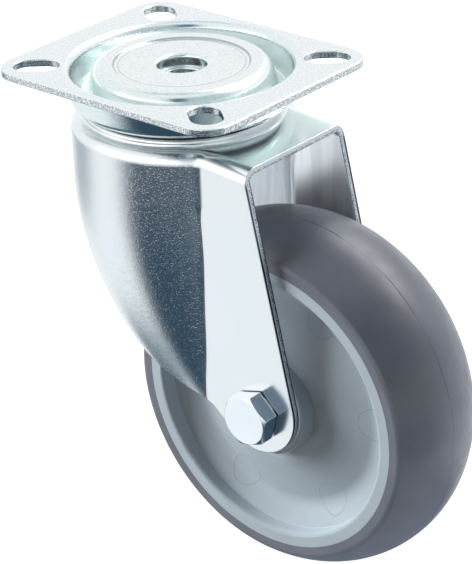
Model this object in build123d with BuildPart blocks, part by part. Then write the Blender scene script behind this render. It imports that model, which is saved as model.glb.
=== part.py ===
"""Swivel castor with a four-slot top plate, double ball head and soft-tread wheel.

Millimetres. The origin is the centre of the top plate's mounting face, on the swivel axis.
+Z points up, out of the mounting face, and +X is the trail: the axle lies ahead of the swivel axis.
The axle runs along Y, with the bolt head on the -Y side.
"""

import os
from math import acos, atan2, cos, degrees, hypot, pi, radians, sin, sqrt, tan

from build123d import *

# ---------------------------------------------------------------- driving dimensions

# wheel and its place
wheel_diameter = 100.0
trail = 39.5
axle_drop = 83.8
tread_width = 33.0
tread_crown_radius = 24.0
tread_shoulder_radius = 1.8
tread_side_height = 2.9

# wheel core
rim_face_width = 3.7
rim_edge_radius = 1.0
rim_wall_depth = 4.2
channel_depth = 8.0
channel_radius = 31.0
channel_root_radius = 4.5
web_rise = 4.0
hub_radius = 13.0
hub_proud = 1.1
hub_foot_radius = 3.0
hub_edge_radius = 0.8
key_rib_width = 9.0
key_rib_height = 2.0
key_rib_flare = 1.0

# top plate
plate_length = 77.0
plate_width = 67.0
plate_gauge = 2.0
plate_corner_radius = 8.0
plate_edge_radius = 0.4
slot_pitch_length = 58.8
slot_pitch_width = 49.2
slot_width = 8.5
slot_length = 12.2
slot_rim_radius = 0.4

# pressed dish of the top plate
plateau_radius = 23.2
plateau_edge_radius = 3.2
groove_depth = 8.2
groove_floor_radius = 26.0
groove_floor_width = 1.9
groove_root_radius = 0.7
groove_mouth_radius = 29.9
groove_mouth_edge_radius = 2.2
dish_flange = 2.6
recess_radius = 17.85
recess_depth = 0.45
collar_bore_radius = 6.5
collar_edge_radius = 1.0
collar_depth = 6.3
collar_ledge_depth = 4.8
collar_ledge_width = 0.4

# king pin, a hollow rivet
pin_fit = 0.1
pin_bore_radius = 5.2
pin_head_height = 0.7
pin_shank_radius = 7.9
pin_foot_overhang = 1.5
pin_foot_thickness = 1.8
pin_flare = 1.0

# ball head
upper_ball_diameter = 6.0
lower_ball_diameter = 5.5
upper_ball_count = 10
lower_ball_count = 8
race_clearance = 0.1
race_flat_width = 3.6
crown_hole_radius = 9.0
crown_hub_rise = 1.8
crown_hub_edge_radius = 2.6
crown_race_root_radius = 1.0
crown_race_edge_radius = 2.5
lip_gap = 1.1
lip_slope_run = 1.65
lip_width = 3.9
lip_root_radius = 0.8
lip_edge_radius = 1.0
lip_foot_radius = 0.8
cup_gauge = 2.0
cup_hub_rise = 1.85
cup_floor_width = 4.4
cup_hub_slope_run = 1.1
cup_rim_height = 1.6
cup_rim_run = 0.9
cup_root_radius = 0.6
cup_edge_radius = 2.1
cage_thickness = 1.0
cage_pocket_clearance = 0.2
cage_width_inside = 4.1
cage_width_outside = 2.2
seal_thickness = 0.8
seal_inside_margin = 0.7
seal_outside_margin = 0.6

# fork, pressed from one sheet
fork_gauge = 2.2
fork_web_gauge = 1.8
fork_web_depth = 14.9
fork_web_front = 37.9
fork_bend_radius = 4.1
web_fall_x = 16.0
web_fall_radius = 20.0
shell_ledge_width = 3.3
shell_shoulder_depth = 13.06
shell_straight_depth = 28.5
shell_sweep_radius = 74.0
shell_sweep_angle = 57.0
shell_section_count = 7
crease_radius = 3.5
crease_overlap = 0.03
leg_corner_depth = 18.4
lobe_radius = 12.5
lobe_rise = 1.5
hem_point = (22.0, -85.0)
hem_slope = 0.42
hem_knee_x = 24.6
hem_knee_radius = 3.0

# axle
bolt_diameter = 8.0
bolt_head_flats = 13.0
bolt_head_height = 5.3
bolt_head_turn = 16.0
bolt_washer_face = 0.5
bolt_washer_face_radius = 5.9
bolt_end_proud = 1.6
bolt_end_chamfer = 0.8
leg_hole_clearance = 0.2
hex_chamfer_angle = 30.0
nut_height = 6.4
nut_collar_height = 1.9
nut_collar_radius = 5.9
nut_lock_ring_wall = 0.9
nut_washer_radius = 8.0
nut_washer_thickness = 1.6
tube_outer_radius = 6.0
tube_fit = 0.1
roller_diameter = 3.6
roller_length = 27.0
roller_count = 8
roller_play = 0.05
cage_ring_wall = 1.7
roller_cage_end = 2.4
roller_pocket_clearance = 0.1
hub_washer_thickness = 0.5
hub_washer_play = 0.1
hub_washer_radius = 11.0

# ---------------------------------------------------------------- derived places

overlap = 0.5
wheel_radius = wheel_diameter / 2
axle_origin = (trail, 0, -axle_drop)
axle_axis = Axis(axle_origin, (0, 1, 0))
axle_plane = Plane(origin=axle_origin, x_dir=(1, 0, 0), z_dir=(0, 0, 1))

wall_lean = atan2(groove_floor_radius - plateau_radius, groove_depth)
upper_ball_z = -(plate_gauge + race_clearance + upper_ball_diameter / 2)
upper_ball_circle = (
    plateau_radius
    - upper_ball_z * tan(wall_lean)
    - (plate_gauge + race_clearance + upper_ball_diameter / 2) / cos(wall_lean)
)
race_z = upper_ball_z - upper_ball_diameter / 2 - race_clearance
race_inner_radius = upper_ball_circle - race_flat_width / 2
race_outer_radius = upper_ball_circle + race_flat_width / 2
hub_top_z = race_z + crown_hub_rise
hub_edge_x = race_inner_radius - crown_hub_rise
hub_under_z = hub_top_z - fork_gauge
lip_top_z = -(groove_depth + plate_gauge + lip_gap)
lip_inner_radius = race_outer_radius + lip_slope_run
lip_radius = lip_inner_radius + lip_width
shell_radius = lip_radius + shell_ledge_width

lower_ball_z = hub_under_z - race_clearance - lower_ball_diameter / 2
slope_reach = (fork_gauge + race_clearance + lower_ball_diameter / 2) * sqrt(2)
lower_ball_circle = hub_edge_x + hub_top_z - slope_reach - lower_ball_z
cup_floor_z = lower_ball_z - lower_ball_diameter / 2 - race_clearance
cup_hub_z = cup_floor_z + cup_hub_rise
cup_slope_length = hypot(cup_hub_slope_run, cup_hub_rise)
cup_floor_inner_radius = (
    lower_ball_circle
    - (race_clearance + lower_ball_diameter / 2) * cup_slope_length / cup_hub_rise
    + (cup_floor_z - lower_ball_z) * cup_hub_slope_run / -cup_hub_rise
)
cup_hub_radius = cup_floor_inner_radius - cup_hub_slope_run
cup_floor_outer_radius = cup_floor_inner_radius + cup_floor_width
pin_foot_z = cup_hub_z - cup_gauge
pin_foot_radius = pin_shank_radius + pin_foot_overhang

half_tread = tread_width / 2
hub_half = half_tread + hub_proud
half_gap = hub_half + hub_washer_thickness + 2 * hub_washer_play
half_fork = half_gap + fork_gauge
fork_width = 2 * half_fork
web_under_z = -fork_web_depth - fork_gauge
web_fall = (fork_web_depth - shell_shoulder_depth) / (fork_web_front - web_fall_x)
rim_radius = wheel_radius - tread_crown_radius + sqrt(
    tread_crown_radius**2 - half_tread**2
) - tread_side_height
hub_bore_radius = tube_outer_radius + roller_diameter + 2 * roller_play
roller_circle = tube_outer_radius + roller_play + roller_diameter / 2


# ---------------------------------------------------------------- shared helpers


def sheet_outline(path, bends, gauge):
    """Closed outline and corner radii of a bent sheet whose upper face follows path.

    The sheet lies on the right of the path, and bends are the radii of its upper face.
    """
    ends = [Vector(*point) for point in path]
    runs = [(b - a).normalized() for a, b in zip(ends, ends[1:])]
    sides = [Vector(run.Y, -run.X) for run in runs]
    lower = [ends[0] + sides[0] * gauge]
    radii = [0.0]
    for corner, left, right, bend in zip(ends[1:], sides, sides[1:], bends):
        middle = (left + right).normalized()
        lower.append(corner + middle * (gauge / middle.dot(left)))
        turn = left.X * right.Y - left.Y * right.X
        radii.append(bend + gauge if turn > 0 else max(bend - gauge, 0.0))
    lower.append(ends[-1] + sides[-1] * gauge)
    radii.append(0.0)
    outline = [(point.X, point.Y) for point in ends + lower[::-1]]
    return outline, [0.0] + list(bends) + [0.0] + radii[::-1]


def sheet_ring(path, bends, gauge):
    """Revolved sheet about the swivel axis, from a path of (radius, height) points."""
    outline, radii = sheet_outline(path, bends, gauge)
    with BuildPart() as ring:
        with BuildSketch(Plane.XZ):
            with BuildLine():
                FilletPolyline(*outline, radius=radii, close=True)
            make_face()
        revolve(axis=Axis.Z)
    return ring.part


def turned(outline, radii, plane=Plane.XZ, axis=Axis.Z):
    """Solid of revolution from a closed outline with a radius for each corner."""
    with BuildPart() as body:
        with BuildSketch(plane):
            with BuildLine():
                FilletPolyline(*outline, radius=radii, close=True)
            make_face()
        revolve(axis=axis)
    return body.part


def shell_circle(apex_x, meet_x, half_width):
    """Centre and radius of the circle through the rear apex and both crease points."""
    centre = (meet_x**2 + half_width**2 - apex_x**2) / (2 * (meet_x - apex_x))
    return centre, centre - apex_x


def tangent_point(point, centre, radius, side):
    """Point where a line from point touches the circle; side is 1 to its left, -1 to its right."""
    away = Vector(point[0] - centre[0], point[1] - centre[1])
    turn = atan2(away.Y, away.X) + side * acos(radius / away.length)
    return centre[0] + radius * cos(turn), centre[1] + radius * sin(turn)


def finish(body, label):
    """Name a finished piece and write its STEP file."""
    body.label = label
    export_step(body, f"parts/{label}.step")


os.makedirs("parts", exist_ok=True)

# ---------------------------------------------------------------- top plate

dish_path = [
    (collar_bore_radius, 0),
    (plateau_radius, 0),
    (groove_floor_radius, -groove_depth),
    (groove_floor_radius + groove_floor_width, -groove_depth),
    (groove_mouth_radius, 0),
    (groove_mouth_radius + dish_flange, 0),
]
dish_bends = [plateau_edge_radius, groove_root_radius, groove_root_radius, groove_mouth_edge_radius]
dish = sheet_ring(dish_path, dish_bends, plate_gauge)
ledge_radius = collar_bore_radius - collar_ledge_width
slot_angle = degrees(atan2(slot_pitch_width, slot_pitch_length))

with BuildPart() as top_plate:
    with BuildSketch():
        RectangleRounded(plate_length, plate_width, plate_corner_radius)
        Circle(groove_mouth_radius + dish_flange - overlap, mode=Mode.SUBTRACT)
    extrude(amount=-plate_gauge)
    add(dish)
    # drawn collar that takes the king pin, with a ledge for its upset head
    with BuildSketch(Plane.XY.offset(-collar_depth)):
        Circle(collar_bore_radius + plate_gauge)
        Circle(ledge_radius, mode=Mode.SUBTRACT)
    extrude(amount=collar_depth - recess_depth)
    with BuildSketch(Plane.XY.offset(-collar_ledge_depth)):
        Circle(collar_bore_radius)
    extrude(amount=collar_ledge_depth, mode=Mode.SUBTRACT)
    # coined disc round the collar
    with BuildSketch(Plane.XZ):
        Polygon(
            (0, -recess_depth),
            (recess_radius, -recess_depth),
            (recess_radius + recess_depth, 0),
            (0, 0),
            align=None,
        )
    revolve(axis=Axis.Z, mode=Mode.SUBTRACT)
    collar_edge = (
        top_plate.edges()
        .filter_by(GeomType.CIRCLE)
        .filter_by(lambda edge: abs(edge.radius - collar_bore_radius) < tube_fit)
        .sort_by(Axis.Z)[-1]
    )
    fillet(collar_edge, collar_edge_radius)
    # four fixing slots, each pointing at the swivel axis
    for side_x in (-1, 1):
        for side_y in (-1, 1):
            with BuildSketch():
                with Locations((side_x * slot_pitch_length / 2, side_y * slot_pitch_width / 2)):
                    SlotOverall(slot_length, slot_width, rotation=side_x * side_y * slot_angle)
            extrude(amount=-plate_gauge, mode=Mode.SUBTRACT)
    # the blanked rim and the slots have rounded upper edges
    rim_face = top_plate.faces().filter_by(Plane.XY).group_by(Axis.Z)[-1].sort_by(SortBy.AREA)[-1]
    slot_wires = [wire for wire in rim_face.inner_wires() if wire.length < pi * slot_length]
    slot_rims = [edge for wire in slot_wires for edge in wire.edges()]
    fillet(rim_face.outer_wire().edges(), plate_edge_radius)
    fillet(slot_rims, slot_rim_radius)
finish(top_plate.part, "top_plate")

# ---------------------------------------------------------------- king pin and lower race cup

pin_head_z = -collar_ledge_depth + pin_head_height
pin_end_z = pin_foot_z - pin_foot_thickness
king_pin = turned(
    [
        (pin_bore_radius, pin_head_z),
        (collar_bore_radius - pin_fit, pin_head_z),
        (collar_bore_radius - pin_fit, -collar_ledge_depth),
        (ledge_radius - pin_fit, -collar_ledge_depth),
        (ledge_radius - pin_fit, -collar_depth),
        (pin_shank_radius, -collar_depth),
        (pin_shank_radius, pin_foot_z),
        (pin_foot_radius, pin_foot_z),
        (pin_foot_radius, pin_end_z),
        (pin_bore_radius + pin_flare, pin_end_z),
        (pin_bore_radius, pin_end_z + pin_flare),
    ],
    [pin_fit, pin_head_height / 2, 0, 0, 0, 0, 0, 0, pin_foot_thickness / 2, 0, 0],
)
finish(king_pin, "king_pin")

cup_path = [
    (pin_shank_radius + pin_fit, cup_hub_z),
    (cup_hub_radius, cup_hub_z),
    (cup_floor_inner_radius, cup_floor_z),
    (cup_floor_outer_radius, cup_floor_z),
    (cup_floor_outer_radius + cup_rim_run, cup_floor_z + cup_rim_height),
]
lower_race_cup = sheet_ring(
    cup_path, [cup_edge_radius, cup_root_radius, cup_root_radius], cup_gauge
)
finish(lower_race_cup, "lower_race_cup")


# ---------------------------------------------------------------- balls, cages and seal


def ball_row(count, diameter, circle, height):
    """Ring of loose balls."""
    with BuildPart() as row:
        with Locations((0, 0, height)):
            with PolarLocations(circle, count):
                Sphere(diameter / 2)
    return row.part


def ball_cage(count, diameter, circle, height):
    """Flat ring with a round pocket for each ball."""
    with BuildPart() as cage:
        with BuildSketch(Plane.XY.offset(height - cage_thickness / 2)):
            Circle(circle + cage_width_outside)
            Circle(circle - cage_width_inside, mode=Mode.SUBTRACT)
            with PolarLocations(circle, count):
                Circle(diameter / 2 + cage_pocket_clearance, mode=Mode.SUBTRACT)
        extrude(amount=cage_thickness)
    return cage.part


finish(
    ball_row(upper_ball_count, upper_ball_diameter, upper_ball_circle, upper_ball_z),
    "upper_balls",
)
finish(
    ball_row(lower_ball_count, lower_ball_diameter, lower_ball_circle, lower_ball_z),
    "lower_balls",
)

finish(
    ball_cage(upper_ball_count, upper_ball_diameter, upper_ball_circle, upper_ball_z),
    "upper_ball_cage",
)
finish(
    ball_cage(lower_ball_count, lower_ball_diameter, lower_ball_circle, lower_ball_z),
    "lower_ball_cage",
)

with BuildPart() as dust_seal:
    with BuildSketch(Plane.XY.offset(lip_top_z)):
        Circle(lip_radius - seal_outside_margin)
        Circle(lip_inner_radius + seal_inside_margin, mode=Mode.SUBTRACT)
    extrude(amount=seal_thickness)
finish(dust_seal.part, "dust_seal")

# ---------------------------------------------------------------- fork

crown_path = [
    (crown_hole_radius, hub_top_z),
    (hub_edge_x, hub_top_z),
    (race_inner_radius, race_z),
    (race_outer_radius, race_z),
    (lip_inner_radius, lip_top_z),
    (lip_radius, lip_top_z),
    (lip_radius, web_under_z),
]
crown_bends = [
    crown_hub_edge_radius,
    crown_race_root_radius,
    crown_race_edge_radius,
    lip_root_radius,
    lip_edge_radius,
]
crown = sheet_ring(crown_path, crown_bends, fork_gauge)


def fork_form(inset, roof_inset):
    """Solid bounded by the fork's outer skin, or by its inner skin when inset by the gauge."""
    half_width = half_fork - inset
    crease_x = sqrt((shell_radius - inset) ** 2 - half_width**2)
    blend_radius = crease_radius + inset
    reach = 2 * wheel_radius + trail
    front_reach = fork_web_front + trail
    roof_z = -shell_shoulder_depth - roof_inset
    sections = []
    for index in range(shell_section_count):
        angle = radians(index * shell_sweep_angle / (shell_section_count - 1))
        fall = shell_sweep_radius * (1 - cos(angle))
        apex_x = fall - shell_radius + inset / cos(angle)
        height = -shell_straight_depth - shell_sweep_radius * sin(angle)
        sections.append((height, *shell_circle(apex_x, crease_x, half_width)))

    # round shell that runs into the two legs, under a roof that falls towards the front
    with BuildPart() as head:
        with BuildSketch(Plane.XY.offset(-shell_straight_depth)) as plan:
            Circle(shell_radius - inset)
            Rectangle(front_reach, 2 * half_width, align=(Align.MIN, Align.CENTER))
            fillet(plan.vertices().group_by(Axis.X)[0], blend_radius)
        extrude(amount=shell_straight_depth)
        with BuildSketch(Plane.XZ.offset(-reach)):
            with BuildLine():
                FilletPolyline(
                    (-reach, roof_z),
                    (web_fall_x, roof_z),
                    (front_reach, roof_z - web_fall * (front_reach - web_fall_x)),
                    (front_reach, -shell_straight_depth),
                    (-reach, -shell_straight_depth),
                    radius=[0, web_fall_radius, 0, 0, 0],
                    close=True,
                )
            make_face()
        extrude(amount=2 * reach, mode=Mode.INTERSECT)
        sides = head.faces().filter_by(
            lambda face: round(face.normal_at().Z) == 0 and round(face.normal_at().X) < 1
        )
        fillet([side.edges().sort_by(Axis.Z)[-1] for side in sides], fork_bend_radius - inset)

    # below it the shell sweeps forward and widens, always through the two creases
    with BuildPart() as shell:
        for height, centre, radius in sections:
            with BuildSketch(Plane.XY.offset(height)):
                with Locations((centre, 0)):
                    Circle(radius)
        loft()

    # the hollow round of each crease runs on down the swept shell
    with BuildPart() as creases:
        for side in (-1, 1):
            for height, centre, radius in sections:
                blend_x = centre + sqrt((radius + blend_radius) ** 2 - (half_width + blend_radius) ** 2)
                blend_centre = Vector(blend_x, half_width + blend_radius)
                to_shell = (Vector(centre, 0) - blend_centre).normalized()
                middle = (to_shell - Vector(0, 1)).normalized()
                arc_points = [
                    blend_centre + way * (blend_radius + crease_overlap)
                    for way in (Vector(0, -1), middle, to_shell)
                ]
                start, halfway, end = [(point.X, side * point.Y) for point in arc_points]
                with BuildSketch(Plane.XY.offset(height)):
                    with BuildLine():
                        ThreePointArc(start, halfway, end)
                        Polyline(end, (crease_x, side * (half_width - 2 * crease_radius)), start)
                    make_face()
            loft()

    with BuildPart() as legs:
        with BuildSketch(Plane.XY.offset(-shell_straight_depth)):
            with Locations((crease_x - fork_bend_radius, 0)):
                Rectangle(reach, 2 * half_width, align=(Align.MIN, Align.CENTER))
        extrude(amount=-reach)
    return head.part + shell.part + legs.part + creases.part


outer_form = fork_form(0, 0)
inner_form = fork_form(fork_gauge, fork_web_gauge)

lobe_z = -axle_drop + lobe_rise
hem_knee = (hem_knee_x, hem_point[1] - hem_slope * (hem_knee_x - hem_point[0]))
rear_x = -2 * shell_radius
rear_hem = (rear_x, hem_point[1] - hem_slope * (rear_x - hem_point[0]))
leg_corner = (fork_web_front, -leg_corner_depth)
lobe_front = tangent_point(leg_corner, (trail, lobe_z), lobe_radius, -1)
lobe_rear = tangent_point(hem_knee, (trail, lobe_z), lobe_radius, 1)

with BuildPart() as leg_outline:
    with BuildSketch(Plane.XZ.offset(-fork_width)) as leg_profile:
        with BuildLine():
            Polyline(
                lobe_rear,
                hem_knee,
                rear_hem,
                (rear_x, 0),
                (fork_web_front, 0),
                leg_corner,
                lobe_front,
            )
            ThreePointArc(lobe_front, (trail, lobe_z - lobe_radius), lobe_rear)
        make_face()
        fillet(leg_profile.vertices().sort_by_distance(hem_knee)[0], hem_knee_radius)
    extrude(amount=2 * fork_width)

with BuildPart() as fork:
    add(outer_form)
    with BuildSketch(Plane.XY.offset(web_under_z - overlap)):
        Circle(lip_radius - fork_gauge / 2)
    extrude(amount=fork_web_depth, mode=Mode.SUBTRACT)
    add(crown)
    crown_foot = (
        fork.edges()
        .filter_by(lambda edge: abs(hypot(edge.center().X, edge.center().Y) - lip_radius) < overlap)
        .filter_by(lambda edge: -fork_web_depth < edge.center().Z < -shell_shoulder_depth)
    )
    fillet(crown_foot, lip_foot_radius)
    add(inner_form, mode=Mode.SUBTRACT)
    add(leg_outline.part, mode=Mode.INTERSECT)
    with Locations(Plane(origin=axle_origin, z_dir=(0, 1, 0))):
        Hole(bolt_diameter / 2 + leg_hole_clearance, depth=fork_width)
finish(fork.part, "fork")

# ---------------------------------------------------------------- axle, tube and nut


def hex_prism(flats, height, turn, start, way):
    """Hexagonal prism along Y from start, way 1 or -1, its far corners turned down to a cone."""
    corner_radius = flats / sqrt(3)
    cone_drop = (corner_radius - flats / 2) * tan(radians(hex_chamfer_angle))
    end = start + way * height
    with BuildPart() as prism:
        with BuildSketch(Plane(origin=(trail, start, -axle_drop), x_dir=(1, 0, 0), z_dir=(0, way, 0))):
            RegularPolygon(corner_radius, 6, rotation=turn)
        extrude(amount=height)
        with BuildSketch(axle_plane):
            Polygon(
                (0, start),
                (corner_radius, start),
                (corner_radius, end - way * cone_drop),
                (flats / 2, end),
                (0, end),
                align=None,
            )
        revolve(axis=axle_axis, mode=Mode.INTERSECT)
    return prism.part


def axle_ring(outer_radius, inner_radius, start, end):
    """Plain ring round the axle between two places along Y."""
    return turned(
        [(inner_radius, start), (outer_radius, start), (outer_radius, end), (inner_radius, end)],
        [0, 0, 0, 0],
        axle_plane,
        axle_axis,
    )


bolt_radius = bolt_diameter / 2
head_start = -half_fork - bolt_washer_face
washer_end = half_fork + nut_washer_thickness
nut_end = washer_end + nut_height
collar_end = nut_end + nut_collar_height
bolt_end = collar_end + bolt_end_proud
ring_end = collar_end - nut_lock_ring_wall / 2

# the head's outer corners are turned down, so it is drawn from the leg outwards
with BuildPart() as axle_bolt:
    add(axle_ring(bolt_washer_face_radius, 0, head_start, -half_fork))
    add(hex_prism(bolt_head_flats, bolt_head_height - bolt_washer_face, bolt_head_turn, head_start, -1))
    add(
        turned(
            [
                (0, -half_fork - overlap),
                (bolt_radius, -half_fork - overlap),
                (bolt_radius, bolt_end - bolt_end_chamfer),
                (bolt_radius - bolt_end_chamfer, bolt_end),
                (0, bolt_end),
            ],
            [0, 0, 0, 0, 0],
            axle_plane,
            axle_axis,
        )
    )
finish(axle_bolt.part, "axle_bolt")

finish(
    axle_ring(nut_washer_radius, bolt_radius + leg_hole_clearance, half_fork, washer_end),
    "nut_washer",
)

ring_seat_radius = nut_collar_radius - nut_lock_ring_wall
with BuildPart() as axle_nut:
    add(hex_prism(bolt_head_flats, nut_height, 0, washer_end, 1))
    add(axle_ring(nut_collar_radius, bolt_radius, nut_end - overlap, collar_end))
    add(axle_ring(ring_seat_radius, 0, nut_end, collar_end), mode=Mode.SUBTRACT)
    add(axle_ring(bolt_radius + tube_fit, 0, half_fork, collar_end), mode=Mode.SUBTRACT)
finish(axle_nut.part, "axle_nut")
finish(axle_ring(ring_seat_radius, bolt_radius + tube_fit, nut_end, ring_end), "nut_lock_ring")

finish(axle_ring(tube_outer_radius, bolt_radius + tube_fit, -half_gap, half_gap), "axle_tube")

# ---------------------------------------------------------------- roller bearing

across_axle = Plane(origin=(trail, -roller_length / 2, -axle_drop), x_dir=(1, 0, 0), z_dir=(0, 1, 0))
with BuildPart() as bearing_rollers:
    with BuildSketch(across_axle):
        with PolarLocations(roller_circle, roller_count):
            Circle(roller_diameter / 2)
    extrude(amount=roller_length)
finish(bearing_rollers.part, "bearing_rollers")

# each roller runs in a slot of the cage, which is a little longer than the roller
with BuildPart() as roller_cage:
    add(
        axle_ring(
            roller_circle + cage_ring_wall / 2,
            roller_circle - cage_ring_wall / 2,
            -roller_length / 2 - roller_cage_end,
            roller_length / 2 + roller_cage_end,
        )
    )
    with BuildSketch(across_axle.offset(-roller_pocket_clearance)):
        with PolarLocations(roller_circle, roller_count):
            Circle(roller_diameter / 2 + roller_pocket_clearance)
    extrude(amount=roller_length + 2 * roller_pocket_clearance, mode=Mode.SUBTRACT)
finish(roller_cage.part, "roller_cage")

for label, side in (("near_hub_washer", -1), ("far_hub_washer", 1)):
    face = side * (hub_half + hub_washer_play)
    inner_radius = tube_outer_radius + tube_fit
    washer = axle_ring(hub_washer_radius, inner_radius, face, face + side * hub_washer_thickness)
    finish(washer, label)

# ---------------------------------------------------------------- wheel

side_outline = [
    (rim_radius, half_tread),
    (rim_radius - rim_face_width, half_tread),
    (rim_radius - rim_face_width, half_tread - rim_wall_depth),
    (channel_radius, half_tread - channel_depth),
    (hub_radius + web_rise, half_tread - channel_depth + web_rise),
    (hub_radius, half_tread - channel_depth + web_rise),
    (hub_radius, hub_half),
]
side_radii = [0, rim_edge_radius, 0, channel_root_radius, hub_foot_radius, 0, hub_edge_radius]
key_base = key_rib_width / 2 + key_rib_flare
key_outline = [
    (rim_radius, -key_base),
    (rim_radius + key_rib_height, -key_rib_width / 2),
    (rim_radius + key_rib_height, key_rib_width / 2),
    (rim_radius, key_base),
]
wheel_core = turned(
    side_outline
    + [(hub_bore_radius, hub_half), (hub_bore_radius, -hub_half)]
    + [(radius, -y) for radius, y in side_outline[::-1]]
    + key_outline,
    side_radii + [0, 0] + side_radii[::-1] + [0, 0, 0, 0],
    axle_plane,
    axle_axis,
)
finish(wheel_core, "wheel_core")

shoulder_radius = rim_radius + tread_side_height
with BuildPart() as tread:
    with BuildSketch(axle_plane):
        with BuildLine():
            Polyline(
                (shoulder_radius, -half_tread),
                (rim_radius, -half_tread),
                *key_outline,
                (rim_radius, half_tread),
                (shoulder_radius, half_tread),
            )
            ThreePointArc(
                (shoulder_radius, half_tread),
                (wheel_radius, 0),
                (shoulder_radius, -half_tread),
            )
        make_face()
    revolve(axis=axle_axis)
    shoulders = (
        tread.edges()
        .filter_by(GeomType.CIRCLE)
        .filter_by(lambda edge: abs(edge.radius - shoulder_radius) < tube_fit)
    )
    fillet(shoulders, tread_shoulder_radius)
finish(tread.part, "tread")
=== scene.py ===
"""Looks of a swivel castor: its finishes, its fine marks and the stage that it stands on."""

from math import cos, pi, radians, sin

import bpy
from mathutils import Matrix, Vector


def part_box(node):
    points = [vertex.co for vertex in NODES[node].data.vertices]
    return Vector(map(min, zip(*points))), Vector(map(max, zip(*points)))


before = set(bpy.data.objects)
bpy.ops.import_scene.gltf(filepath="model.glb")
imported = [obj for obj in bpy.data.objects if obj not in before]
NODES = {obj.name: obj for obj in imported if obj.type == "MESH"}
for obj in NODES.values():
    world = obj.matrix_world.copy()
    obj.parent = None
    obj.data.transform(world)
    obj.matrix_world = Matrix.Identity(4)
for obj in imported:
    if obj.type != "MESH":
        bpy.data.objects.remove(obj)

bl_info = {
    "name": "Swivel castor finish",
    "version": (1, 0, 0),
    "blender": (4, 5, 0),
    "location": "3D View > Sidebar > Castor",
    "description": "Finishes, fine marks and a studio for a swivel castor",
    "category": "Object",
}

MM = 0.001

# radii at which materials round the edges that are sharp in the solids
ZINC_ROUNDING = 0.3 * MM
PLATE_ROUNDING = 0.25 * MM
MOULDED_ROUNDING = 0.2 * MM
ROUNDING_SAMPLES = 6

# over this range of its normal's share along an axis, a face of the sheet turns into an edge
STEEP = (0.5, 0.2)

# below, a grain is the size of its features and the height of its bumps

# zinc: sizes of its faint cast and of its haze, its grain, and its roughness where it is dull
CAST_SIZE = 25 * MM
HAZE_SIZE = 9 * MM
ZINC_GRAIN = (0.45 * MM, 0.006 * MM)
DULL_ROUGHNESS = 0.3

# top plate: heights and radii at which its finish changes, its grains and its colours
PLATE_FACE = (-1.0 * MM, -0.8 * MM)
PLATE_UNDERSIDE = (-2.1 * MM, -1.9 * MM)
PLATE_CORNER_RADII = (28.0 * MM, 29.0 * MM)
PLATE_GRAIN = (0.7 * MM, 0.02 * MM)
PLATE_TORN_GRAIN = (0.4 * MM, 0.06 * MM)
PLATE_TORN_COLORS = ((0.40, 0.43, 0.45), (0.74, 0.77, 0.79))
# a painted reflection tint for the plate's walls, and the colour of the painted shade along its
# pressed rings
WALL_REFLECTION_TINT = (0.68, 0.80, 0.78)
RING_SHADE_COLOR = (0.30, 0.34, 0.36)

# lines of painted shade along the rings pressed into the plate: radius, half width and blur
COINED_SHADE_RING = (18.1 * MM, 0.22 * MM, 0.15 * MM)
FAINT_SHADE_RING = (16.9 * MM, 0.15 * MM, 0.2 * MM)

# fork: its sheet, where the blanked edges start, and where the drawn grain fades
FORK_GAUGE = 2.2 * MM
FORK_BEND = 4.1 * MM
FORK_WEB_TOP = -14.9 * MM
BELOW_WEB = (FORK_WEB_TOP - 2.0 * MM, FORK_WEB_TOP - 5.0 * MM)
FORK_EDGE_START = (24.0 * MM, 25.0 * MM)
DRAWN_END = (24.5 * MM, 21.0 * MM)
FORK_CAST_SIZE = 30 * MM
FORK_GRAIN = (0.5 * MM, 0.002 * MM)
# a painted reflection tint for faces that look up
ROOF_REFLECTION_TINT = (0.76, 0.86, 0.84)

# across a blanked edge of the fork, by depth under its outer skin: a dark lip of painted
# reflection, a sheared band, and a torn one with a dark line of painted shade at its foot; a line
# is its middle, half width and blur
EDGE_LIP_REFLECTION = (0.4 * MM, 0.34 * MM, 0.12 * MM)
EDGE_TORN = (0.9 * MM, 1.2 * MM)
EDGE_FOOT_SHADE = (2.05 * MM, 0.18 * MM, 0.08 * MM)
LIP_REFLECTION_COLOR = (0.035, 0.05, 0.06)
SHEARED_COLOR = (0.50, 0.53, 0.58)
FOOT_SHADE_COLOR = (0.03, 0.04, 0.05)
FORK_TORN_COLORS = ((0.10, 0.13, 0.15), (0.66, 0.70, 0.73))
FORK_SPECK_SIZE = 0.3 * MM
FORK_TORN_GRAIN = (0.35 * MM, 0.12 * MM)

# inside of the fork: y times the normal's y where a face looks inwards, its streaks and skin
INNER_SKIN = (-2.0 * MM, -6.0 * MM)
STREAK_SIZE = 3.0 * MM
STREAK_STRETCH = (1, 1, 0.05)
INNER_SKIN_COLORS = ((0.80, 0.83, 0.86), (0.93, 0.95, 0.97))
INNER_SKIN_METAL = 0.78

# mouldings: sizes of their clouds of colour and of gloss, and each one's grain
CLOUD_SIZE = 15 * MM
GLOSS_SIZE = 5 * MM
TREAD_GRAIN = (0.5 * MM, 0.012 * MM)
CORE_GRAIN = (0.6 * MM, 0.008 * MM)
NYLON_GRAIN = (0.4 * MM, 0.01 * MM)
SEAL_GRAIN = (0.3 * MM, 0.02 * MM)

# bearings and seal
STEEL_ROUGHNESS = 0.16
NYLON_COLOR = (0.03, 0.03, 0.032)
NYLON_ROUGHNESS = 0.4
SEAL_COLOR = (0.012, 0.012, 0.014)
SEAL_ROUGHNESS = 0.5

# tread: where its mould parted, and how that line wanders, wears and steps
PARTING_Y = -1.5 * MM
PARTING_HALF_WIDTH = 0.1 * MM
PARTING_WANDER = 0.15 * MM
PARTING_WANDER_SIZE = 12 * MM
PARTING_WEAR_SIZE = 14 * MM
PARTING_STEP_HALF_WIDTH = 0.2 * MM
PARTING_STEP_DEPTH = 0.06 * MM
PARTING_COLOR = (0.03, 0.03, 0.04)
TREAD_SPECULAR = 0.6
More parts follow.
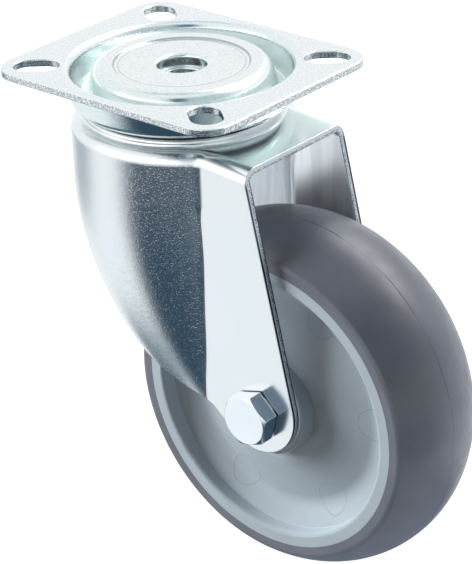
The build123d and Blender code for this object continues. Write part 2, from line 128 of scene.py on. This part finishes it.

# core: the mould's ejector marks and witness line, the witness line painted lighter as a
# highlight; a line is its radius, half width and blur
EJECTOR_COUNT = 6
EJECTOR_TURN = radians(3)
EJECTOR_CIRCLE_RADIUS = 30 * MM
EJECTOR_LINE = (4.5 * MM, 0.1 * MM, 0.09 * MM)
WITNESS_HIGHLIGHT_LINE = (36.8 * MM, 0.1 * MM, 0.1 * MM)
CORE_MARK_DEPTH = 0.05 * MM
CORE_SHADE = 0.94
CORE_SPECULAR = 0.35

# floor: its side in metres, its paint, and its glow for all but the camera
FLOOR_SIZE = 8
FLOOR_PAINT = (0.2, 0.2, 0.2)
FLOOR_ROUGHNESS = 0.6
FLOOR_BOUNCE = 0.22

# camera: sensor width in millimetres, and the nearest that it sees, in metres
SENSOR_WIDTH = 36
CLIP_START = 0.05

# lamps: name, azimuth and elevation in degrees, distance and side in metres, watts, nodes lit
LAMPS = (
    ("key_softbox", 141, 21, 1.2, 0.7, 31, ()),
    ("right_softbox", -62, 30, 1.2, 0.7, 16, ()),
    ("throat_softbox", 20, 12, 1.0, 0.3, 4, ("fork",)),
    ("far_throat_softbox", -25, 12, 1.0, 0.3, 80, ("fork",)),
    ("low_softbox", 10, -60, 1.2, 0.5, 20, ("tread",)),
)

# screens round the castor: (azimuth, half width, blur) and (low, high, blur) in degrees, and
# colour; a later screen stands in front of an earlier one
SCREENS = {
    "far_low": ((75, 195, 5), (-90, -41, 3), (0.10, 0.165, 0.215)),
    "right_low": ((15, 30, 12), (-90, -8, 8), (0.32, 0.39, 0.42)),
    "front_high": ((25, 42, 16), (10, 64, 14), (0.60, 0.69, 0.75)),
    "ceiling": ((-130, 70, 20), (62, 90, 8), (0.75, 0.80, 0.83)),
    "right_window": ((-78, 34, 9), (34, 60, 7), (6.5, 6.5, 6.6)),
    "front_low": ((76, 41, 11), (-90, -14, 4), (0.036, 0.076, 0.117)),
    "front_bright": ((98, 44, 10), (-4, 30, 6), (1.7, 1.7, 1.7)),
    "left_level": ((178, 20, 8), (-27, -14, 3), (0.46, 0.55, 0.58)),
    "left_low": ((142, 24, 9), (-43, -24, 3), (1.09, 1.15, 1.18)),
    "front_dark": ((56, 12, 4), (27, 56, 3), (0.03, 0.10, 0.18)),
}
ROOM_COLOR = (1.08, 1.11, 1.12)

# share of the room's light that reaches matt surfaces
DIFFUSE_SHARE = 0.06


# ---------------------------------------------------------------- settings


class CastorMetalSettings(bpy.types.PropertyGroup):
    """Bright zinc and bearing steel."""

    plate_color: bpy.props.FloatVectorProperty(
        name="Plate colour",
        description="Bright zinc on the top plate",
        subtype="COLOR",
        default=(0.78, 0.80, 0.81),
        min=0,
        max=1,
    )
    fork_color: bpy.props.FloatVectorProperty(
        name="Fork colour",
        description="Bright zinc on the pressed fork",
        subtype="COLOR",
        default=(0.755, 0.775, 0.79),
        min=0,
        max=1,
    )
    fastener_color: bpy.props.FloatVectorProperty(
        name="Fastener colour",
        description="Zinc on the axle bolt, nut and washer",
        subtype="COLOR",
        default=(0.79, 0.83, 0.86),
        min=0,
        max=1,
    )
    tint_color: bpy.props.FloatVectorProperty(
        name="Passivation tint",
        description="Faint green cast that lies in patches on the zinc",
        subtype="COLOR",
        default=(0.68, 0.76, 0.75),
        min=0,
        max=1,
    )
    steel_color: bpy.props.FloatVectorProperty(
        name="Bearing steel colour",
        description="Polished balls, rollers and axle tube",
        subtype="COLOR",
        default=(0.60, 0.61, 0.63),
        min=0,
        max=1,
    )
    roughness: bpy.props.FloatProperty(
        name="Zinc roughness",
        description="How blurred the reflections in the zinc are",
        subtype="FACTOR",
        default=0.2,
        min=0,
        max=1,
    )
    grain_size: bpy.props.FloatProperty(
        name="Drawn grain size",
        description="Size of the orange peel where the sheet was drawn",
        subtype="DISTANCE",
        unit="LENGTH",
        default=0.42 * MM,
    )
    grain_depth: bpy.props.FloatProperty(
        name="Drawn grain depth",
        description="Height of the orange peel where the sheet was drawn",
        subtype="DISTANCE",
        unit="LENGTH",
        precision=6,
        default=0.036 * MM,
    )


class CastorWheelSettings(bpy.types.PropertyGroup):
    """Moulded wheel."""

    tread_color: bpy.props.FloatVectorProperty(
        name="Tread colour",
        description="Soft dark grey tread",
        subtype="COLOR",
        default=(0.082, 0.089, 0.112),
        min=0,
        max=1,
    )
    core_color: bpy.props.FloatVectorProperty(
        name="Core colour",
        description="Bluish grey plastic of the wheel core",
        subtype="COLOR",
        default=(0.28, 0.325, 0.36),
        min=0,
        max=1,
    )
    tread_roughness: bpy.props.FloatProperty(
        name="Tread roughness",
        description="How matt the tread is",
        subtype="FACTOR",
        default=0.36,
        min=0,
        max=1,
    )
    core_roughness: bpy.props.FloatProperty(
        name="Core roughness",
        description="How matt the core is",
        subtype="FACTOR",
        default=0.38,
        min=0,
        max=1,
    )


class CastorStageSettings(bpy.types.PropertyGroup):
    """Camera and floor."""

    floor_color: bpy.props.FloatVectorProperty(
        name="Floor colour",
        description="Plain pale floor",
        subtype="COLOR",
        default=(0.93, 0.93, 0.93),
        min=0,
        max=1,
    )
    floor_glow: bpy.props.FloatProperty(
        name="Floor glow",
        description="Brightness of the floor as the camera sees it",
        default=1.02,
        min=0,
    )
    camera_azimuth: bpy.props.FloatProperty(
        name="Camera azimuth",
        description="Angle of the camera from +X towards -Y",
        subtype="ANGLE",
        default=radians(49.06),
    )
    camera_elevation: bpy.props.FloatProperty(
        name="Camera elevation",
        description="Angle of the camera above the horizon",
        subtype="ANGLE",
        default=radians(26.25),
    )
    camera_roll: bpy.props.FloatProperty(
        name="Camera roll",
        description="Tilt of the camera about its own line of sight",
        subtype="ANGLE",
        default=radians(-2.01),
    )
    camera_distance: bpy.props.FloatProperty(
        name="Camera distance",
        description="From the camera to the point it looks at",
        subtype="DISTANCE",
        unit="LENGTH",
        default=658.05 * MM,
    )
    camera_target: bpy.props.FloatVectorProperty(
        name="Camera target",
        description="Point that the camera looks at",
        subtype="TRANSLATION",
        unit="LENGTH",
        default=(17.07 * MM, -1.01 * MM, -59.42 * MM),
    )
    camera_lens: bpy.props.FloatProperty(
        name="Lens",
        description="Focal length in millimetres for a 36 mm sensor",
        default=155.88,
        min=1,
    )


# ---------------------------------------------------------------- node trees


class NodeKit:
    """Short calls that add and join the nodes of a tree."""

    def __init__(self, tree):
        self.tree = tree

    def node(self, kind, **values):
        """Add a node and set its properties."""
        made = self.tree.nodes.new(kind)
        for key, value in values.items():
            setattr(made, key, value)
        return made

    def link(self, source, target):
        """Join an output to an input, or set the input to a plain number."""
        if isinstance(source, (int, float)):
            target.default_value = source
        else:
            self.tree.links.new(source, target)

    def parts(self, vector):
        """The X, Y and Z of a vector."""
        made = self.node("ShaderNodeSeparateXYZ")
        self.link(vector, made.inputs[0])
        return made.outputs["X"], made.outputs["Y"], made.outputs["Z"]

    def math(self, operation, *values):
        """Result of a Math node."""
        made = self.node("ShaderNodeMath", operation=operation)
        for socket, value in zip(made.inputs, values):
            self.link(value, socket)
        return made.outputs["Value"]

    def total(self, first, *others):
        """Sum of several values."""
        for other in others:
            first = self.math("ADD", first, other)
        return first

    def product(self, first, *others):
        """Product of several values."""
        for other in others:
            first = self.math("MULTIPLY", first, other)
        return first

    def hypot(self, first, second):
        """Length of a flat vector."""
        squares = self.total(self.product(first, first), self.product(second, second))
        return self.math("SQRT", squares)

    def span(self, source, low, high, to_low=0.0, to_high=1.0):
        """Stretch a value from one range to another, clamped and smooth."""
        made = self.node("ShaderNodeMapRange", interpolation_type="SMOOTHSTEP")
        for name, value in (
            ("From Min", low),
            ("From Max", high),
            ("To Min", to_low),
            ("To Max", to_high),
        ):
            made.inputs[name].default_value = value
        self.link(source, made.inputs["Value"])
        return made.outputs["Result"]

    def band(self, value, middle, half_width, blur):
        """One where a value is near the middle, falling to nothing beyond half_width."""
        away = self.math("ABSOLUTE", self.math("SUBTRACT", value, middle))
        return self.span(away, half_width + blur, half_width - blur)

    def blend(self, factor, first, second):
        """Mix of two colours by a factor; a colour may be plain or an output."""
        made = self.node("ShaderNodeMix", data_type="RGBA")
        self.link(factor, made.inputs["Factor"])
        sockets = [socket for socket in made.inputs if socket.type == "RGBA"]
        for socket, color in zip(sockets, (first, second)):
            if isinstance(color, bpy.types.NodeSocket):
                self.link(color, socket)
            else:
                socket.default_value = (*color, 1)
        return next(socket for socket in made.outputs if socket.type == "RGBA")


class Recipe(NodeKit):
    """A material, with the calls that only a material needs."""

    def __init__(self, name):
        self.material = bpy.data.materials.new(name)
        self.material.use_nodes = True
        super().__init__(self.material.node_tree)
        self.shader = self.tree.nodes["Principled BSDF"]
        coordinates = self.node("ShaderNodeTexCoord")
        self.place = coordinates.outputs["Object"]
        self.facing = coordinates.outputs["Normal"]

    def noise(self, size, detail=2.0, roughness=0.5, stretch=(1, 1, 1)):
        """Noise whose features are about size metres across."""
        spread = self.node("ShaderNodeMapping")
        spread.inputs["Scale"].default_value = stretch
        self.link(self.place, spread.inputs["Vector"])
        made = self.node("ShaderNodeTexNoise")
        made.inputs["Scale"].default_value = 1 / size
        made.inputs["Detail"].default_value = detail
        made.inputs["Roughness"].default_value = roughness
        self.link(spread.outputs["Vector"], made.inputs["Vector"])
        return made.outputs["Fac"]

    def bump(self, height, depth, below=None):
        """Bump of depth metres, laid over another bump if one is given."""
        made = self.node("ShaderNodeBump")
        made.inputs["Distance"].default_value = depth
        self.link(height, made.inputs["Height"])
        if below is not None:
            self.link(below, made.inputs["Normal"])
        return made.outputs["Normal"]

    def grained(self, grain, detail, below):
        """Bump of an even noise, from a grain's size and depth, laid over another bump."""
        size, depth = grain
        return self.bump(self.noise(size, detail), depth, below)

    def rounded(self, radius):
        """Normal that rounds off sharp edges by a radius."""
        made = self.node("ShaderNodeBevel", samples=ROUNDING_SAMPLES)
        made.inputs["Radius"].default_value = radius
        return made.outputs["Normal"]

    def set(self, **values):
        """Set the shader's own sockets, or link them to an output."""
        for key, value in values.items():
            socket = self.shader.inputs[key.replace("_", " ")]
            if isinstance(value, bpy.types.NodeSocket):
                self.link(value, socket)
            elif socket.type == "RGBA":
                socket.default_value = (*value, 1)
            else:
                socket.default_value = value

    def fed_by(self, name):
        """The output that feeds one of the shader's sockets."""
        return self.shader.inputs[name].links[0].from_socket


def shaded(color, share):
    """A colour whose channels are all scaled by a share."""
    return tuple(share * channel for channel in color)


# ---------------------------------------------------------------- materials


def zinc(name, color, tint, roughness):
    """Bright zinc plate: fine grain and a faint cast that comes and goes."""
    recipe = Recipe(name)
    cast = recipe.span(recipe.noise(CAST_SIZE), 0.35, 0.75, 0.0, 0.5)
    recipe.set(Base_Color=recipe.blend(cast, color, tint))
    haze = recipe.noise(HAZE_SIZE)
    recipe.set(
        Metallic=1.0,
        Roughness=recipe.span(haze, 0.3, 0.7, roughness - 0.03, roughness + 0.03),
        Normal=recipe.grained(ZINC_GRAIN, 3.0, recipe.rounded(ZINC_ROUNDING)),
    )
    return recipe


def plate_zinc(metal):
    """Zinc on the stamped plate: mottled, with rough dark edges where it was blanked, painted
    shade along each pressed ring and a painted reflection tint on its walls.
    """
    recipe = zinc("plate_zinc", metal.plate_color, metal.tint_color, metal.roughness)
    x, y, z = recipe.parts(recipe.place)
    facing_z = recipe.math("ABSOLUTE", recipe.parts(recipe.facing)[2])
    radius = recipe.hypot(x, y)

    # the blanked edge goes round outside the dish, and the pressed rings, with their painted shade
    # lines, lie inside it
    outer = recipe.span(radius, *PLATE_CORNER_RADII)
    upper = recipe.span(z, *PLATE_UNDERSIDE)
    cut = recipe.product(outer, upper, recipe.span(facing_z, *STEEP))
    coined_shade = recipe.band(radius, *COINED_SHADE_RING)
    faint = recipe.product(recipe.band(radius, *FAINT_SHADE_RING), 0.6)
    top = recipe.span(z, *PLATE_FACE)
    ring_shade = recipe.product(recipe.math("MAXIMUM", coined_shade, faint), top)

    mottle_size, mottle_depth = PLATE_GRAIN
    mottle = recipe.noise(mottle_size, 4.0, 0.7)
    dull = shaded(metal.plate_color, 0.87)
    flat = recipe.blend(recipe.span(mottle, 0.36, 0.58), dull, metal.plate_color)
    # walls that don't face up get a painted reflection tint, and the pressed rings get lines of
    # painted shade on the top face
    wall_reflection = recipe.product(recipe.span(facing_z, 0.97, 0.8), 0.5)
    flat = recipe.blend(wall_reflection, flat, WALL_REFLECTION_TINT)
    flat = recipe.blend(recipe.product(ring_shade, 0.8), flat, RING_SHADE_COLOR)
    torn_size, torn_depth = PLATE_TORN_GRAIN
    specks = recipe.span(recipe.noise(torn_size), 0.45, 0.6)
    torn = recipe.blend(specks, *PLATE_TORN_COLORS)
    recipe.set(Base_Color=recipe.blend(cut, flat, torn))

    grain = recipe.bump(mottle, mottle_depth, recipe.rounded(PLATE_ROUNDING))
    ragged = recipe.product(recipe.noise(torn_size, 3.0), cut)
    recipe.set(Normal=recipe.bump(ragged, torn_depth, grain))
    return recipe.material


def drawn_zinc(metal):
    """Zinc on the deep-drawn fork: sparkling grain on the shell, blanked edges on the legs with
    lines of painted dark reflection and painted shade, and a painted reflection tint where it
    looks up.
    """
    recipe = Recipe("fork_zinc")
    x, y, z = recipe.parts(recipe.place)
    facing_y, facing_z = recipe.parts(recipe.facing)[1:]
    low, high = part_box("axle_tube")
    half_width = (high.y - low.y) / 2 + FORK_GAUGE

    # depth under the sheet's outer skin, round the bend between web and leg
    sideways = recipe.math("ABSOLUTE", y)
    beyond_y = recipe.math("SUBTRACT", sideways, half_width - FORK_BEND)
    beyond_y = recipe.math("MAXIMUM", beyond_y, 0.0)
    beyond_z = recipe.math("SUBTRACT", z, FORK_WEB_TOP - FORK_BEND)
    beyond_z = recipe.math("MAXIMUM", beyond_z, 0.0)
    depth = recipe.math("SUBTRACT", FORK_BEND, recipe.hypot(beyond_y, beyond_z))

    # blanked edges face neither sideways on the legs nor up
    ahead = recipe.span(x, *FORK_EDGE_START)
    across = recipe.math("ABSOLUTE", facing_y)
    edge = recipe.product(ahead, recipe.span(across, *STEEP), recipe.span(facing_z, 0.7, 0.5))
    hem = recipe.span(facing_z, -0.86, -0.9)
    blanked = recipe.math("MAXIMUM", edge, hem)

    # bands across the blanked edges; the dark ones, a painted reflection near the skin and painted
    # shade at the foot, end under the web
    below_web = recipe.span(z, *BELOW_WEB)
    lip_reflection = recipe.product(recipe.band(depth, *EDGE_LIP_REFLECTION), below_web)
    foot = recipe.product(recipe.band(depth, *EDGE_FOOT_SHADE), below_web)
    torn = recipe.span(depth, *EDGE_TORN)
    specks = recipe.span(recipe.noise(FORK_SPECK_SIZE), 0.42, 0.6)
    torn_color = recipe.blend(specks, *FORK_TORN_COLORS)
    cut_color = recipe.blend(torn, SHEARED_COLOR, torn_color)
    cut_color = recipe.blend(lip_reflection, cut_color, LIP_REFLECTION_COLOR)
    cut_color = recipe.blend(foot, cut_color, FOOT_SHADE_COLOR)

    cast = recipe.span(recipe.noise(FORK_CAST_SIZE), 0.35, 0.75, 0.0, 0.35)
    plated = recipe.blend(cast, metal.fork_color, metal.tint_color)
    # faces that look up get a painted reflection tint
    roof_reflection = recipe.span(facing_z, 0.7, 0.98, 0.0, 0.8)
    plated = recipe.blend(roof_reflection, plated, ROOF_REFLECTION_TINT)

    # dull skin on the inside, streaked down the legs
    within = recipe.span(recipe.product(y, facing_y), *INNER_SKIN)
    streaks = recipe.span(recipe.noise(STREAK_SIZE, stretch=STREAK_STRETCH), 0.4, 0.6)
    inside = recipe.blend(streaks, *INNER_SKIN_COLORS)
    skin = recipe.blend(within, plated, inside)
    dull = recipe.math("MAXIMUM", blanked, within)
    recipe.set(
        Base_Color=recipe.blend(blanked, skin, cut_color),
        Roughness=recipe.span(dull, 0.0, 1.0, metal.roughness, DULL_ROUGHNESS),
        Metallic=recipe.span(within, 0.0, 1.0, 1.0, INNER_SKIN_METAL),
    )

    # orange peel with scattered sparks behind the legs
    drawn = recipe.span(x, *DRAWN_END)
    swell = recipe.noise(metal.grain_size, 4.0, 0.7)
    sparks = recipe.span(recipe.noise(0.9 * metal.grain_size, 0.0), 0.64, 0.78, 0.0, 0.45)
    peel = recipe.product(recipe.total(swell, sparks), drawn)
    fine = recipe.grained(FORK_GRAIN, 2.0, recipe.rounded(ZINC_ROUNDING))
    grainy = recipe.bump(peel, metal.grain_depth, fine)
    torn_size, torn_depth = FORK_TORN_GRAIN
    ragged = recipe.product(recipe.noise(torn_size, 3.0), blanked, torn)
    recipe.set(Normal=recipe.bump(ragged, torn_depth, grainy))
    return recipe.material


def moulded(name, color, roughness, grain, shade=0.8):
    """Moulded plastic or rubber with a fine even grain and slightly uneven gloss."""
    recipe = Recipe(name)
    cloud = recipe.span(recipe.noise(CLOUD_SIZE, 3.0), 0.3, 0.7)
    gloss = recipe.noise(GLOSS_SIZE, 4.0)
    recipe.set(
        Base_Color=recipe.blend(cloud, shaded(color, shade), color),
        Roughness=recipe.span(gloss, 0.3, 0.7, roughness - 0.04, roughness + 0.06),
        Normal=recipe.grained(grain, 3.0, recipe.rounded(MOULDED_ROUNDING)),
    )
    return recipe


def tread_rubber(wheel):
    """Soft grey tread with the thin line where its mould parted."""
    recipe = moulded("tread_rubber", wheel.tread_color, wheel.tread_roughness, TREAD_GRAIN)
    across = recipe.parts(recipe.place)[1]
    wander = recipe.noise(PARTING_WANDER_SIZE)
    wander = recipe.span(wander, 0.2, 0.8, -PARTING_WANDER, PARTING_WANDER)
    line = recipe.total(across, wander)
    worn = recipe.span(recipe.noise(PARTING_WEAR_SIZE), 0.4, 0.6, 0.25, 1.0)
    groove = recipe.band(line, PARTING_Y, PARTING_HALF_WIDTH, PARTING_HALF_WIDTH)
    groove = recipe.product(groove, worn)
    step = recipe.span(
        line, PARTING_Y - PARTING_STEP_HALF_WIDTH, PARTING_Y + PARTING_STEP_HALF_WIDTH
    )
    step = recipe.product(step, worn)
    recipe.set(
        Base_Color=recipe.blend(groove, recipe.fed_by("Base Color"), PARTING_COLOR),
        Normal=recipe.bump(step, PARTING_STEP_DEPTH, recipe.fed_by("Normal")),
        Specular_IOR_Level=TREAD_SPECULAR,
    )
    return recipe.material


def core_plastic(wheel):
    """Grey core with ejector marks round the web and a witness line at the foot of the rim, a fine
    raised line that is also painted lighter as a highlight.
    """
    recipe = moulded(
        "core_plastic", wheel.core_color, wheel.core_roughness, CORE_GRAIN, CORE_SHADE
    )
    x, _, z = recipe.parts(recipe.place)
    low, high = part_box("tread")
    middle = (low + high) / 2
    ahead = recipe.math("SUBTRACT", x, middle.x)
    above = recipe.math("SUBTRACT", z, middle.z)
    radius = recipe.hypot(ahead, above)

    # the turn is folded into one sector, so that one mark there shows in all of them
    angle = recipe.math("SUBTRACT", recipe.math("ARCTAN2", above, ahead), EJECTOR_TURN)
    half_sector = pi / EJECTOR_COUNT
    folded = recipe.math("WRAP", angle, half_sector, -half_sector)
    reach = recipe.product(radius, recipe.math("COSINE", folded))
    out = recipe.math("SUBTRACT", reach, EJECTOR_CIRCLE_RADIUS)
    along = recipe.product(radius, recipe.math("SINE", folded))
    mark = recipe.band(recipe.hypot(out, along), *EJECTOR_LINE)
    witness = recipe.band(radius, *WITNESS_HIGHLIGHT_LINE)

    # the ejector marks are darker; the witness line is raised and also gets a painted highlight,
    # lighter than the core
    dark = shaded(wheel.core_color, 0.75)
    pale = shaded(wheel.core_color, 1.5)
    marked = recipe.blend(recipe.product(mark, 0.8), recipe.fed_by("Base Color"), dark)
    lines = recipe.total(mark, witness)
    recipe.set(
        Base_Color=recipe.blend(recipe.product(witness, 0.7), marked, pale),
        Normal=recipe.bump(lines, CORE_MARK_DEPTH, recipe.fed_by("Normal")),
        Specular_IOR_Level=CORE_SPECULAR,
    )
    return recipe.material


def dress(material, *names):
    """Give CAD nodes a material."""
    for name in names:
        NODES[name].data.materials.clear()
        NODES[name].data.materials.append(material)


# ---------------------------------------------------------------- operators


class CASTOR_OT_finish_sheet(bpy.types.Operator):
    """Plate the pressed parts and the king pin with bright zinc"""

    bl_idname = "castor.finish_sheet"
    bl_label = "Finish pressed parts"

    def execute(self, context):
        metal = context.scene.castor_metal
        dress(plate_zinc(metal), "top_plate")
        pin = zinc("pin_zinc", metal.plate_color, metal.tint_color, metal.roughness)
        dress(pin.material, "king_pin", "lower_race_cup")
        dress(drawn_zinc(metal), "fork")
        return {"FINISHED"}


class CASTOR_OT_finish_fasteners(bpy.types.Operator):
    """Plate the axle bolt, nut and washer with zinc"""

    bl_idname = "castor.finish_fasteners"
    bl_label = "Finish fasteners"

    def execute(self, context):
        metal = context.scene.castor_metal
        fastener = zinc("fastener_zinc", metal.fastener_color, metal.tint_color, metal.roughness)
        dress(fastener.material, "axle_bolt", "axle_nut", "nut_washer")
        return {"FINISHED"}


class CASTOR_OT_finish_bearings(bpy.types.Operator):
    """Finish the balls, rollers, cages, washers and seal"""

    bl_idname = "castor.finish_bearings"
    bl_label = "Finish bearings"

    def execute(self, context):
        metal = context.scene.castor_metal
        steel = zinc("bearing_steel", metal.steel_color, metal.steel_color, STEEL_ROUGHNESS)
        dress(steel.material, "upper_balls", "lower_balls", "axle_tube", "bearing_rollers")
        nylon = moulded("cage_nylon", NYLON_COLOR, NYLON_ROUGHNESS, NYLON_GRAIN)
        dress(
            nylon.material,
            "upper_ball_cage",
            "lower_ball_cage",
            "nut_lock_ring",
            "near_hub_washer",
            "far_hub_washer",
            "roller_cage",
        )
        rubber = moulded("seal_rubber", SEAL_COLOR, SEAL_ROUGHNESS, SEAL_GRAIN)
        dress(rubber.material, "dust_seal")
        return {"FINISHED"}


class CASTOR_OT_finish_wheel(bpy.types.Operator):
    """Finish the tread and the core of the wheel"""

    bl_idname = "castor.finish_wheel"
    bl_label = "Finish wheel"

    def execute(self, context):
        wheel = context.scene.castor_wheel
        dress(tread_rubber(wheel), "tread")
        dress(core_plastic(wheel), "wheel_core")
        return {"FINISHED"}


class CASTOR_OT_build_stage(bpy.types.Operator):
    """Build the floor, the soft light and the camera"""

    bl_idname = "castor.build_stage"
    bl_label = "Build stage"

    def execute(self, context):
        stage = context.scene.castor_stage
        bpy.ops.mesh.primitive_plane_add(size=FLOOR_SIZE, location=(0, 0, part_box("tread")[0].z))
        floor = bpy.context.object
        floor.name = "floor"
        floor.data.materials.append(floor_paint(stage))
        floor.visible_glossy = False
        context.scene.world = studio_room()
        for lamp in LAMPS:
            softbox(Vector(stage.camera_target), *lamp)
        context.scene.view_settings.view_transform = "Standard"
        place_camera(stage)
        return {"FINISHED"}


# ---------------------------------------------------------------- stage


def floor_paint(stage):
    """Paint that reads as pale to the camera and throws little light back at the castor."""
    recipe = Recipe("floor_paint")
    seen = recipe.node("ShaderNodeLightPath").outputs["Is Camera Ray"]
    recipe.set(
        Base_Color=FLOOR_PAINT,
        Roughness=FLOOR_ROUGHNESS,
        Emission_Color=stage.floor_color,
        Emission_Strength=recipe.span(seen, 0.0, 1.0, FLOOR_BOUNCE, stage.floor_glow),
    )
    return recipe.material


def studio_room():
    """White room whose screens stand at chosen azimuths and heights and show in the plating."""
    world = bpy.data.worlds.new("studio_room")
    world.use_nodes = True
    kit = NodeKit(world.node_tree)
    x, y, z = kit.parts(kit.node("ShaderNodeTexCoord").outputs["Generated"])
    height = kit.math("DEGREES", kit.math("ARCSINE", z))
    turn = kit.math("DEGREES", kit.math("ARCTAN2", kit.product(y, -1), x))
    color = ROOM_COLOR
    for (azimuth, half_width, side_blur), (low, high, end_blur), shade in SCREENS.values():
        apart = kit.math("WRAP", kit.math("SUBTRACT", turn, azimuth), 180, -180)
        beside = kit.band(apart, 0, half_width, side_blur)
        level = kit.band(height, (low + high) / 2, (high - low) / 2, end_blur)
        color = kit.blend(kit.product(beside, level), color, shade)
    background = kit.tree.nodes["Background"]
    kit.link(color, background.inputs["Color"])

    # the room lights matt surfaces less than it shows in the plating
    soft = kit.node("ShaderNodeLightPath").outputs["Is Diffuse Ray"]
    dimming = kit.product(soft, DIFFUSE_SHARE - 1)
    kit.link(kit.total(dimming, 1), background.inputs["Strength"])
    return world


def bearing(azimuth, elevation):
    """Unit vector at an azimuth, from +X towards -Y, and a height over the horizon, in radians."""
    flat = cos(elevation)
    return Vector((flat * cos(azimuth), -flat * sin(azimuth), sin(elevation)))


def softbox(target, name, azimuth, elevation, distance, size, power, only):
    """Square soft light at a bearing and height, in degrees, that faces a point.

    A light for only some nodes neither falls on the rest nor is shaded by them.
    """
    data = bpy.data.lights.new(name, "AREA")
    data.size = size
    data.energy = power
    lamp = bpy.data.objects.new(name, data)
    away = bearing(radians(azimuth), radians(elevation))
    lamp.location = target + away * distance
    lamp.rotation_mode = "QUATERNION"
    lamp.rotation_quaternion = (-away).to_track_quat("-Z", "Y")
    lamp.visible_glossy = False
    bpy.context.scene.collection.objects.link(lamp)
    if only:
        lit = bpy.data.collections.new("lit_by_" + name)
        for node in only:
            lit.objects.link(bpy.data.objects[node])
        lamp.light_linking.receiver_collection = lit
        lamp.light_linking.blocker_collection = lit


def place_camera(stage):
    """Camera from its azimuth, elevation, roll and distance about its target."""
    back = bearing(stage.camera_azimuth, stage.camera_elevation)
    right = (-back).cross(Vector((0, 0, 1))).normalized()
    up = right.cross(-back)
    turned_right = cos(stage.camera_roll) * right + sin(stage.camera_roll) * up
    turned_up = cos(stage.camera_roll) * up - sin(stage.camera_roll) * right
    data = bpy.data.cameras.new("camera")
    data.sensor_width = SENSOR_WIDTH
    data.lens = stage.camera_lens
    data.clip_start = CLIP_START
    camera = bpy.data.objects.new("camera", data)
    turn = Matrix((turned_right, turned_up, back)).transposed().to_4x4()
    place = Vector(stage.camera_target) + back * stage.camera_distance
    camera.matrix_world = Matrix.Translation(place) @ turn
    bpy.context.scene.collection.objects.link(camera)
    bpy.context.scene.camera = camera


# ---------------------------------------------------------------- panel


class CASTOR_PT_tools(bpy.types.Panel):
    """Lists the steps in order"""

    bl_label = "Swivel castor"
    bl_space_type = "VIEW_3D"
    bl_region_type = "UI"
    bl_category = "Castor"

    def draw(self, context):
        for operator in OPERATORS:
            self.layout.operator(operator.bl_idname)
        for settings in ("castor_metal", "castor_wheel", "castor_stage"):
            group = getattr(context.scene, settings)
            for key in group.__annotations__:
                self.layout.prop(group, key)


OPERATORS = (
    CASTOR_OT_finish_sheet,
    CASTOR_OT_finish_fasteners,
    CASTOR_OT_finish_bearings,
    CASTOR_OT_finish_wheel,
    CASTOR_OT_build_stage,
)
CLASSES = (
    CastorMetalSettings,
    CastorWheelSettings,
    CastorStageSettings,
    *OPERATORS,
    CASTOR_PT_tools,
)


def register():
    """Register the classes and hang the settings on the scene."""
    for cls in CLASSES:
        bpy.utils.register_class(cls)
    bpy.types.Scene.castor_metal = bpy.props.PointerProperty(type=CastorMetalSettings)
    bpy.types.Scene.castor_wheel = bpy.props.PointerProperty(type=CastorWheelSettings)
    bpy.types.Scene.castor_stage = bpy.props.PointerProperty(type=CastorStageSettings)


def unregister():
    """Take the settings and classes away again."""
    for name in ("castor_metal", "castor_wheel", "castor_stage"):
        delattr(bpy.types.Scene, name)
    for cls in reversed(CLASSES):
        bpy.utils.unregister_class(cls)


def main():
    """Run every step."""
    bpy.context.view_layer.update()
    register()
    bpy.ops.castor.finish_sheet()
    bpy.ops.castor.finish_fasteners()
    bpy.ops.castor.finish_bearings()
    bpy.ops.castor.finish_wheel()
    bpy.ops.castor.build_stage()


if __name__ == "__main__":
    main()
